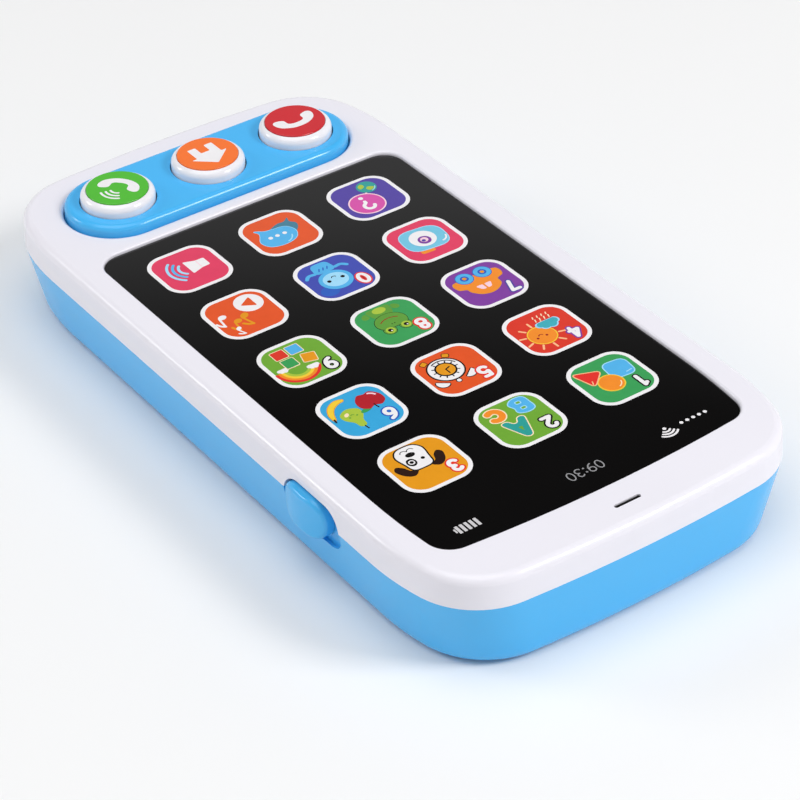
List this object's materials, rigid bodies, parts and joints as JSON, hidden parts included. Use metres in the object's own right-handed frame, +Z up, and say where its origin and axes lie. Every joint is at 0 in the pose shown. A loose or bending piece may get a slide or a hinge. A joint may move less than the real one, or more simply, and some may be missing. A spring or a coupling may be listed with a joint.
{
  "type": "toy cell phone",
  "caption": "Toy cell phone with a white and blue two-shell case, glossy printed touch panel, round push buttons, side slide switch and battery door.",
  "frame": {"origin": "middle of the flat resting face on the underside, midway between the case's long sides and ends", "axes": "+Z up out of the screen, +Y towards the earpiece end, +X towards the side with the power switch"},
  "size_m": [0.0808, 0.1552, 0.0251],
  "materials": {
    "white_case": "moulded ABS, polished",
    "blue_case": "moulded ABS, satin gloss",
    "screen_black": "printed acrylic, high gloss",
    "white_cap": "moulded ABS, polished",
    "label_green": "printed disc",
    "label_orange": "printed disc",
    "label_red": "printed disc",
    "dome_rubber": "silicone",
    "circuit_board": "solder mask",
    "black_epoxy": "epoxy",
    "capacitor_sleeve": "sleeve",
    "chip_body": "moulded",
    "connector_plastic": "nylon",
    "sensor_film": "printed film",
    "steel": "plated",
    "spring_steel": "nickel plated",
    "magnet_steel": "zinc plated",
    "paper_cone": "pressed paper",
    "cell_jacket": "plain jacket",
    "lever_black": "acetal",
    "wire_red": "pvc insulation",
    "wire_black": "pvc insulation",
    "wire_yellow": "pvc insulation"
  },
  "bodies": {
    "case": {"top_case": "white_case", "bottom_case": "blue_case", "screen_panel": "screen_black", "touch_sensor": "sensor_film", "tail_connector": "connector_plastic", "button_surround": "blue_case", "call_rubber_dome": "dome_rubber", "home_rubber_dome": "dome_rubber", "end_rubber_dome": "dome_rubber", "main_board": "circuit_board", "board_screws": "steel", "chip_blob": "black_epoxy", "capacitor": "capacitor_sleeve", "board_chips": "chip_body", "switch_can": "steel", "switch_screws": "steel", "case_screws": "steel", "battery_cell_left": "cell_jacket", "battery_cell_right": "cell_jacket", "positive_contact": "spring_steel", "negative_contact": "spring_steel", "bridge_contact": "spring_steel", "negative_spring": "spring_steel", "bridge_spring": "spring_steel", "speaker_frame": "magnet_steel", "speaker_magnet": "magnet_steel", "speaker_cone": "paper_cone", "speaker_retainer": "connector_plastic", "retainer_screws": "steel", "wire_cell_to_switch": "wire_red", "wire_cell_to_board": "wire_black", "wire_switch_to_board": "wire_red", "wire_speaker_inner": "wire_yellow", "wire_speaker_outer": "wire_yellow"},
    "call_button": {"call_button_cap": "white_cap", "call_button_label": "label_green"},
    "home_button": {"home_button_cap": "white_cap", "home_button_label": "label_orange"},
    "end_button": {"end_button_cap": "white_cap", "end_button_label": "label_red"},
    "power_slider": {"power_knob": "blue_case", "switch_lever": "lever_black"},
    "battery_cover": {"battery_door": "blue_case", "door_screw": "steel"}
  },
  "joints": [
    {"name": "call_button_press", "type": "slide", "parent": "case", "child": "call_button", "axis": [0, 0, -1], "range_m": [0, 0.0014], "stiffness_N_per_m": 400, "deforming": ["call_rubber_dome"]},
    {"name": "home_button_press", "type": "slide", "parent": "case", "child": "home_button", "axis": [0, 0, -1], "range_m": [0, 0.0014], "stiffness_N_per_m": 400, "deforming": ["home_rubber_dome"]},
    {"name": "end_button_press", "type": "slide", "parent": "case", "child": "end_button", "axis": [0, 0, -1], "range_m": [0, 0.0014], "stiffness_N_per_m": 400, "deforming": ["end_rubber_dome"]},
    {"name": "power_switch_slide", "type": "slide", "parent": "case", "child": "power_slider", "axis": [0, 1, 0], "range_m": [0, 0.0034]},
    {"name": "battery_door_hinge", "type": "hinge", "parent": "case", "child": "battery_cover", "pos_m": [0, 0.0123, 0], "axis": [1, 0, 0], "range_deg": [0, 60]}
  ]
}
